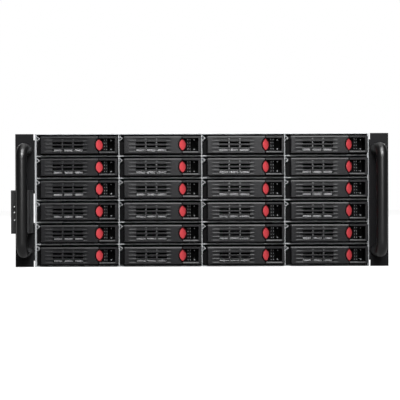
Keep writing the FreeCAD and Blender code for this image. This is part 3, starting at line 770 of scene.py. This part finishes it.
pull(cuts, ledge, "X", (SPLIT - OVER, POCKET_X[1]))
pull(cuts, circle(*HINGE, KNUCKLE_BORE), "Z", (LOW, HIGH))
bezel_mesh = coated(moulded("bezel", body, cuts, BEZEL_EDGE), LEVER_PLASTIC, BEZEL_SHADE_PLASTIC)
# painted shade: faces set back from the front lip get the darker black of the recesses
for face in bezel_mesh.polygons:
    face.material_index = 1 if face.center.y > (LIP + SHADE_BEHIND) * MM else 0
print("bezel mesh:", len(bezel_mesh.polygons), "faces")

# %% [markdown]
# ## Light pipes and pips
# Two clear rods in the pocket carry light from the board to the front, and the vent block beside them has
# two columns of small pips. All are short round bars with a soft end, so one mesh holds them.

# %% Light pipes
PIPES, PIPE_RADIUS, PIPE_FRONT = ((96.9, 19.9), (96.9, 7.9)), 0.85, FRONT + 5.0
PIPS = [(x, z) for x in (88.7, 91.5) for z in (20.1, 16.1, 12.1, 8.1)]
PIP_RADIUS, PIP_SIDES, PIP_STAND = 0.5, 16, 0.4
PIPE_EDGE, PIPE_SEGMENTS = 0.2, 3

body = bmesh.new()
for x, z in PIPES:
    pull(body, circle(x, z, PIPE_RADIUS), "Y", (PIPE_FRONT, POCKET_END))
for x, z in PIPS:
    pull(body, circle(x, z, PIP_RADIUS, PIP_SIDES), "Y", (VENT_FRONT - PIP_STAND, VENT_FRONT + OVER))
pipe_mesh = coated(rounded_off(as_object("light_pipes", body), PIPE_EDGE, PIPE_SEGMENTS), PIPE_CLEAR)
print("light pipes:", len(PIPES), "and", len(PIPS), "pips")

# %% [markdown]
# ## The release button
# The one touch of colour is a red, eye-shaped button that frees the lever. Its face slants to the right and
# is slightly crowned, so it takes the light differently from the flat plastic around it. A narrow darker rim
# frames it, which is painted shade of the gap around the button. Rings of points, each a smaller copy of the
# eye, follow the slant and the crown exactly.

# %% Button
RIM, FACE_BACK = 1.0, 0.3
CROWN, CROWN_SHIFT = 0.55, 0.6
RINGS, RIM_SHADE_RINGS = (1.0, 0.95, 0.85, 0.8, 0.66, 0.5, 0.32, 0.16), 3
BUTTON_EDGE = 0.15


def slant(x):
    """Depth of the button's face at a place across it."""
    left, right = EYE_AT[0] - EYE_WIDE / 2, EYE_AT[0] + EYE_WIDE / 2
    share = min(max((x - left - RIM) / (right - left - RIM), 0.0), 1.0)
    return FRONT + FACE_BACK + share * (PLATE[0] - RIM - FRONT - 2 * FACE_BACK)


shape = bmesh.new()
x0, z0 = EYE_AT
outline = eye()
rings = [[shape.verts.new(Vector((x, PLATE[0], z)) * MM) for x, z in outline]]
for share in RINGS:
    ring = []
    for x, z in outline:
        px, pz = x0 + (x - x0) * share, z0 + (z - z0) * share
        ring.append(shape.verts.new(Vector((px, slant(px) + CROWN * (share ** 2 - CROWN_SHIFT), pz)) * MM))
    rings.append(ring)
top = shape.verts.new(Vector((x0, slant(x0) - CROWN_SHIFT * CROWN, z0)) * MM)
shape.faces.new(rings[0])
# painted shade: the outer rings get the dark red rim
for level, (outer, inner) in enumerate(zip(rings, rings[1:])):
    for face in join(shape, outer, inner):
        face.material_index = 1 if level < RIM_SHADE_RINGS else 0
for k in range(len(outline)):
    shape.faces.new([rings[-1][k - 1], rings[-1][k], top])
bmesh.ops.recalc_face_normals(shape, faces=shape.faces)
eye_mesh = coated(rounded_off(as_object("release_button", shape), BUTTON_EDGE, 2), BUTTON_RED, BUTTON_RIM_SHADE)
print("button mesh:", len(eye_mesh.polygons), "faces")

# %% [markdown]
# ## The sled
# A drive is screwed between two thin steel rails. A front plate with a low wall and a strip at the back
# join them, and the middle stays open for air. The wall is the bright bar behind the lowest slots of a lever;
# its near-white finish is painted light that falls on it through the slots. The holes are cut, because they
# show when a tray is drawn out.

# %% Sled
SHEET, LAP = 0.8, 0.2
SLED_LOW, SLED_TALL, SLED_BACK = 0.3, 18.0, tray_high.y
SLED_FRONT = PLATE[1] + 1.0
RAIL_X = ((0.8, 1.6), (104.65, 105.45))
SLED_WIDE = (RAIL_X[0][0], RAIL_X[1][1])
WALL_X, WALL_TALL, FLOOR_END = (12.8, POCKET_X[0] - SHELL - 1.0), 9.4, 40.8
STRIP = (SLED_BACK - 25.0, SLED_BACK - 1.0)
SCREW_HOLE, RAIL_HOLES, RAIL_HOLE_Z = 1.8, (68.0, 109.6, 170.0), 6.4
STRIP_HOLES, STRIP_HOLE_Y = (30.0, 76.0), SLED_BACK - 13.0
AIR_HOLE, AIR_HOLES, AIR_HOLE_Y = 2.6, [17.0 + k * 9.0 for k in range(9)], 27.0
HOLE_SIDES, SLED_EDGE = 16, 0.15

body, cuts = bmesh.new(), bmesh.new()
floor_z = (SLED_LOW, SLED_LOW + SHEET)
through = (SLED_LOW - OVER, SLED_LOW + 2 * OVER)
for rail in RAIL_X:
    block(body, rail, (PLATE[1], SLED_BACK), (SLED_LOW, SLED_TALL))
    for y in RAIL_HOLES:
        pull(cuts, circle(y, RAIL_HOLE_Z, SCREW_HOLE, HOLE_SIDES), "X", past(rail))
block(body, SLED_WIDE, (SLED_FRONT, FLOOR_END), floor_z)
block(body, WALL_X, (SLED_FRONT, SLED_FRONT + SHEET), (SLED_LOW + LAP, WALL_TALL))
block(body, SLED_WIDE, STRIP, floor_z)
for x in AIR_HOLES:
    pull(cuts, circle(x, AIR_HOLE_Y, AIR_HOLE, HOLE_SIDES), "Z", through)
for x in STRIP_HOLES:
    pull(cuts, circle(x, STRIP_HOLE_Y, SCREW_HOLE, HOLE_SIDES), "Z", through)
sled_mesh = coated(moulded("sled", body, cuts, SLED_EDGE), SLED_STEEL, WALL_PAINTED_LIGHT)
# painted light: the front faces of the low wall get the near-white finish
for face in sled_mesh.polygons:
    x, y, z = face.center / MM
    in_front = y < SLED_FRONT + SHEET + LAP and z > floor_z[1] + LAP
    face.material_index = 1 if in_front and WALL_X[0] - LAP < x < WALL_X[1] + LAP else 0
print("sled mesh:", len(sled_mesh.polygons), "faces")

# %% [markdown]
# ## Filling the bays
# A thin steel pin runs through lever and knuckle, and then every bay gets its other five pieces. The copies
# share their meshes, so 24 trays cost hardly more than one.

# %% Hinge pins and trays
PIN_INSET, PIN_EDGE = 0.15, 0.2

pin = pull(bmesh.new(), circle(*HINGE, PIN), "Z", (LOW + PIN_INSET, HIGH - PIN_INSET))
pin_mesh = coated(rounded_off(as_object("hinge_pin", pin), PIN_EDGE, 2), CAGE_STEEL)
for name in PLACES:
    body, corner = "tray_" + name, CORNERS[name]
    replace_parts(piece("sled_" + name, sled_mesh, body, corner), body)
    piece("bezel_" + name, bezel_mesh, body, corner)
    piece("release_button_" + name, eye_mesh, body, corner)
    piece("light_pipes_" + name, pipe_mesh, body, corner)
    piece("hinge_pin_" + name, pin_mesh, body, corner)
print("bays filled:", len(PLACES))

# %% [markdown]
# ## The handles
# Each handle is a round steel bar bent into a U and screwed to its ear from behind. The CAD keeps it
# eight-sided to stay light. Here a circle is carried along the same path, ring by ring, which keeps the bar
# evenly round through the bends; a bevelled curve would do as well, but its ends are harder to shape.

# %% Handles
BAR, BAR_SIDES = 14.0, 40
BEND, BEND_STEPS = 13.0, 14
FOOT, FOOT_EDGE = 0.8, 0.5

bar_low, bar_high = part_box("handles")
reach = (bar_high.y - bar_low.y) / MM - BAR / 2
half = (bar_high.z - bar_low.z) / MM / 2 - BAR / 2


def handle_path(reach, half):
    """Centre line of the U from foot to foot as (depth, height, turn) in mm, from the ear's face."""
    line = [(0.0, -half, 0.0), (-FOOT, -half, 0.0)]
    for end in (-1, 1):
        for k in range(BEND_STEPS + 1):
            turn = 90 * (k / BEND_STEPS + (end + 1) / 2)
            t = math.radians(turn)
            line.append((-reach + BEND * (1 - math.sin(t)), end * (half - BEND) - BEND * math.cos(t), turn))
    return line + [(-FOOT, half, 180.0), (0.0, half, 180.0)]


shape = bmesh.new()
rings = []
line = handle_path(reach, half)
for k, (depth, height, turn) in enumerate(line):
    radius = BAR / 2 - (FOOT_EDGE if k in (0, len(line) - 1) else 0.0)
    out = Vector((0, math.sin(math.radians(turn)), math.cos(math.radians(turn))))
    ring = []
    for a in [2 * math.pi * s / BAR_SIDES for s in range(BAR_SIDES)]:
        point = Vector((0, depth, height)) + (Vector((1, 0, 0)) * math.cos(a) + out * math.sin(a)) * radius
        ring.append(shape.verts.new(point * MM))
    rings.append(ring)
for near, far in zip(rings, rings[1:]):
    join(shape, near, far)
shape.faces.new(rings[0])
shape.faces.new(rings[-1])
bmesh.ops.recalc_face_normals(shape, faces=shape.faces)
for face in shape.faces:
    face.smooth = len(face.verts) == 4
bar_mesh = coated(as_mesh("handle", shape), HANDLE_PAINT)
for side, word in ((-1, "left"), (1, "right")):
    foot = (side * (bar_high.x - BAR / 2 * MM), bar_high.y, (bar_low.z + bar_high.z) / 2)
    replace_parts(piece("handle_" + word, bar_mesh, "chassis", foot), "handles")
print("handles:", len(bar_mesh.polygons), "faces each")

# %% [markdown]
# ## The control module
# The small box on the left ear has the power button and two lamps. The button gets a crowned face with a
# white lamp in its middle, turned on a lathe as a list of radii, and the lamps are low domes made alike.

# %% Power button and lamps
DOME_PROFILE = [(0, -0.35), (0.5, -0.28), (0.85, 0.0), (0.9, 0.6), (0, 0.6)]
DOME_SIDES, LAMP_SUNK = 24, 0.3 * MM
LAMP_HEIGHTS = (("drive_lamp", 70.9), ("alarm_lamp", 61.4))


def turned(name, profile, sides=32):
    """A mesh turned about the Y axis from (radius, depth) pairs in mm."""
    shape = bmesh.new()
    rings = []
    for radius, depth in profile:
        points = circle(0, 0, radius, sides) if radius > 0 else [(0, 0)]
        rings.append([shape.verts.new(Vector((x, depth, z)) * MM) for x, z in points])
    for near, far in zip(rings, rings[1:]):
        for s in range(sides):
            corners = [near[s % len(near)], near[(s + 1) % len(near)],
                       far[(s + 1) % len(far)], far[s % len(far)]]
            shape.faces.new(list(dict.fromkeys(corners)))
    bmesh.ops.recalc_face_normals(shape, faces=shape.faces)
    for face in shape.faces:
        face.smooth = True
    return as_mesh(name, shape)


press_low, press_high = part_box("power_button")
module_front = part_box("control_module")[0].y
centre = (press_low + press_high) / 2
half = (press_high.x - press_low.x) / 2 / MM
length = (press_high.y - press_low.y) / MM
cap_profile = [(0, 0.35), (1.0, 0.3), (1.1, 0.0), (1.5, 0.0), (2.1, 0.12), (half, 0.5), (half, length),
               (0, length)]
press_mesh = coated(turned("power_button_cap", cap_profile), MODULE_PLASTIC)
cap_at = (centre.x, press_low.y, centre.z)
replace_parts(piece("power_button_cap", press_mesh, "power_button", cap_at), "power_button")
dome = coated(turned("lamp_dome", DOME_PROFILE, DOME_SIDES), LAMP_WHITE)
piece("power_lamp", dome, "power_button", (centre.x, press_low.y + LAMP_SUNK, centre.z))
for name, height in LAMP_HEIGHTS:
    piece(name, dome, "chassis", (centre.x, module_front, height * MM))
print("control module: button", round(half * 2, 1), "mm across")

# %% [markdown]
# ## Slot covers
# Seven narrow openings in the rear wall wait for expansion cards. Until then a punched steel cover closes
# each one from the inside and still lets air out. One cover is punched with the cutter that made the levers,
# and seven copies become one mesh, because they never move on their own.

# %% Slot covers
pan_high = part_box("base_pan")[1]
WALL_INSIDE = pan_high.y / MM - 1.0
COVER_FIRST, COVER_PITCH, COVER_COUNT = 25.3, 20.32, 7
COVER_X, COVER_Z, COVER_SHEET, COVER_FLANGE = (-7.9, 7.9), (8.5, 119.0), 0.8, 12.0
COVER_SCREW, COVER_SCREW_IN, COVER_EDGE = 1.9, 6.5, 0.1
HOLE, HOLE_CORNERS, HOLE_ROWS = 1.35, 10, 22
HOLE_X, HOLE_FIRST, HOLE_PITCH = (-4.0, 0.0, 4.0), 16.2, 4.5


def copies(name, mesh, places):
    """One mesh made of copies of another, each put at its own matrix."""
    shape = bmesh.new()
    for place in places:
        before = len(shape.verts)
        shape.from_mesh(mesh)
        shape.verts.ensure_lookup_table()
        bmesh.ops.transform(shape, matrix=place, verts=shape.verts[before:])
    return coated(as_mesh(name, shape), *mesh.materials)


body, cuts = bmesh.new(), bmesh.new()
sheet = (WALL_INSIDE - COVER_SHEET, WALL_INSIDE)
block(body, COVER_X, sheet, COVER_Z)
block(body, COVER_X, (WALL_INSIDE - COVER_FLANGE, WALL_INSIDE), (COVER_Z[1] - COVER_SHEET, COVER_Z[1]))
for row in range(HOLE_ROWS):
    for x in HOLE_X:
        z = HOLE_FIRST + row * HOLE_PITCH + (HOLE_PITCH / 2 if x == 0.0 else 0.0)
        pull(cuts, circle(x, z, HOLE, HOLE_CORNERS), "Y", past(sheet))
screw_at = circle(0.0, WALL_INSIDE - COVER_SCREW_IN, COVER_SCREW, HOLE_SIDES)
pull(cuts, screw_at, "Z", (COVER_Z[1] - 3 * OVER, COVER_Z[1] + OVER))
cover_mesh = coated(moulded("slot_cover", body, cuts, COVER_EDGE, 1), CASE_STEEL)
in_a_row = [Matrix.Translation(((COVER_FIRST - k * COVER_PITCH) * MM, 0, 0)) for k in range(COVER_COUNT)]
piece("slot_covers", copies("slot_covers", cover_mesh, in_a_row), "chassis")
print("slot covers:", COVER_COUNT, "with", len(HOLE_X) * HOLE_ROWS, "holes each")

# %% [markdown]
# ## Screws and rivets
# Round-headed cross screws hold the ears, and flat rivets hold the cage in the case. Heads this small are
# often painted on, but they catch the light from the side. Each kind is turned once about its own axis and
# set down wherever one is needed.

# %% Screws and rivets
SCREW_PROFILE = [(0, -1.7), (1.3, -1.6), (2.4, -1.15), (2.9, -0.35), (2.9, 0.0), (0, 0.0)]
RIVET_PROFILE = [(0, -0.7), (1.2, -0.62), (2.1, -0.3), (2.3, 0.0), (0, 0.0)]
SCREW_SIDES, RIVET_SIDES, SCREW_EDGE = 28, 24, 0.06
CROSS_LONG, CROSS_WIDE, CROSS_DEEP = (-1.6, 1.6), (-0.3, 0.3), (-3.0, -0.8)
CASE_SIDE, FLANGE_SIDE = pan_high.x / MM, pan_high.x / MM + 2.0
SCREW_Y, SCREW_Z = (14.0, 34.0), (22.0, 150.0)
RIVET_Y, RIVET_Z = (62.0, 122.0, 182.0, 250.0, 648.0), (14.0, 86.0, 155.0)


def on_walls(x, depths, heights):
    """Places in mm on both side walls, for heads turned to face the front."""
    return [Matrix.Translation(Vector((side * x, y, z)) * MM) @ Matrix.Rotation(side * math.pi / 2, 4, "Z")
            for side in (-1, 1) for y in depths for z in heights]


shape, cross = bmesh.new(), bmesh.new()
shape.from_mesh(turned("ear_screw", SCREW_PROFILE, SCREW_SIDES))
block(cross, CROSS_LONG, CROSS_DEEP, CROSS_WIDE)
block(cross, CROSS_WIDE, CROSS_DEEP, CROSS_LONG)
screw_mesh = coated(moulded("ear_screw", shape, cross, SCREW_EDGE, 1), CAGE_STEEL)
rivet_mesh = coated(turned("cage_rivet", RIVET_PROFILE, RIVET_SIDES), CASE_STEEL)
ear_screws = on_walls(FLANGE_SIDE, SCREW_Y, SCREW_Z)
rivets = on_walls(CASE_SIDE, RIVET_Y, RIVET_Z)
piece("ear_screws", copies("ear_screws", screw_mesh, ear_screws), "chassis")
piece("case_rivets", copies("case_rivets", rivet_mesh, rivets), "chassis")
print("fasteners:", len(ear_screws), "screws,", len(rivets), "rivets")

# %% [markdown]
# ## Board pillars
# Six-sided brass pillars wait on the floor for a mainboard, each with a threaded bore that a plain hole
# stands for. Nine of them mark out the usual holes of a large board.

# %% Pillars
PILLAR, PILLAR_Z, PILLAR_EDGE = 3.2, (1.0, 7.5), 0.15
BORE, BORE_Z = 1.4, (3.0, 8.5)
PILLAR_X, PILLAR_Y = (198.0, 75.0, -82.0), (618.0, 463.0, 391.0)

BRASS = grained_finish(
    "turned_brass", (0.55, 0.38, 0.15), (0.66, 0.47, 0.20),
    grain=0.0005, depth=0.00002, rough=0.3, metal=1.0)
pillar = pull(bmesh.new(), circle(0, 0, PILLAR, 6), "Z", PILLAR_Z)
bore = pull(bmesh.new(), circle(0, 0, BORE, HOLE_SIDES), "Z", BORE_Z)
pillar_mesh = coated(moulded("board_pillar", pillar, bore, PILLAR_EDGE), BRASS)
pillars = [Matrix.Translation(Vector((x, y, 0)) * MM) for x in PILLAR_X for y in PILLAR_Y]
piece("board_pillars", copies("board_pillars", pillar_mesh, pillars), "chassis")
print("pillars:", len(pillars))

# %% [markdown]
# ## Fan rotors
# Behind the cage three large fans draw air past the drives. A fan blade twists: it stands steep at the hub,
# where it moves slowly, and flatter at the tip. The CAD blade is a flat plate, so here each of the five
# is a small grid of points, from hub to tip and from edge to edge, which then gets a thickness.

# %% Rotors
HUB, TIP, BLADES, BLADE_THICK, BLADE_EDGE = 19.0, 55.6, 5, 1.6, 0.4
BLADE_RINGS, BLADE_POINTS, HUB_SIDES = 7, 9, 48
ROOT_LAP, CAMBER, SWEEP, BLADE_FORWARD = 1.0, 2.6, 0.25, 1.5
PITCH, PITCH_DROP = 40.0, 14.0
CHORD, CHORD_GROWTH = 15.0, 6.0

joints = frame["record"]["behaviour"]["joints"]
spins = {j["child"]: Vector(j["pos_m"]) for j in joints if j["name"].endswith("_spin")}
rotor_low, rotor_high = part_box("fan_rotor_1")
hub_from = (rotor_low.y - spins["fan_rotor_1"].y) / MM
hub_to = (rotor_high.y - spins["fan_rotor_1"].y) / MM


def blade_point(along, chord):
    """A point in mm; along runs from hub (0) to tip (1), chord from edge (-1) to edge (1)."""
    radius = HUB - ROOT_LAP + along * (TIP - HUB + ROOT_LAP)
    pitch = math.radians(PITCH - PITCH_DROP * along)
    half, bow = CHORD + CHORD_GROWTH * along, CAMBER * (1 - chord ** 2)
    run = half * chord * math.cos(pitch) - bow * math.sin(pitch)
    deep = half * chord * math.sin(pitch) + bow * math.cos(pitch)
    turn = run / radius + SWEEP * along
    middle = (hub_from + hub_to) / 2 - BLADE_FORWARD
    return Vector((radius * math.sin(turn), middle + deep, radius * math.cos(turn)))


shape = bmesh.new()
steps = [i / (BLADE_RINGS - 1) for i in range(BLADE_RINGS)]
chords = [2 * k / (BLADE_POINTS - 1) - 1 for k in range(BLADE_POINTS)]
for b in range(BLADES):
    around = Matrix.Rotation(2 * math.pi * b / BLADES, 3, "Y")
    grid = [[shape.verts.new(around @ blade_point(s, c) * MM) for c in chords] for s in steps]
    for near, far in zip(grid, grid[1:]):
        for k in range(BLADE_POINTS - 1):
            shape.faces.new([near[k], near[k + 1], far[k + 1], far[k]])
bmesh.ops.recalc_face_normals(shape, faces=shape.faces)
sheets = as_object("fan_blades", shape)
thick = sheets.modifiers.new("thickness", "SOLIDIFY")
thick.thickness, thick.offset = BLADE_THICK * MM, 0.0
hub_profile = [(0, hub_from), (HUB - 2.0, hub_from), (HUB - 0.6, hub_from + 0.6), (HUB, hub_from + 2.0),
               (HUB, hub_to), (HUB - 1.5, hub_to), (0, hub_to)]
shape = bmesh.new()
shape.from_mesh(rounded_off(sheets, BLADE_EDGE, 2))
shape.from_mesh(turned("fan_hub", hub_profile, HUB_SIDES))
rotor_mesh = coated(as_mesh("fan_rotor", shape), FAN_PLASTIC)
for body, place in spins.items():
    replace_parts(piece(body.replace("fan_rotor", "fan_wheel"), rotor_mesh, body, place), body)
print("rotors:", len(spins), "with", BLADES, "blades")

# %% [markdown]
# ## The last look
# The colours are shown through the Standard view transform.

# %% View transform
SCENE.view_settings.view_transform = "Standard"
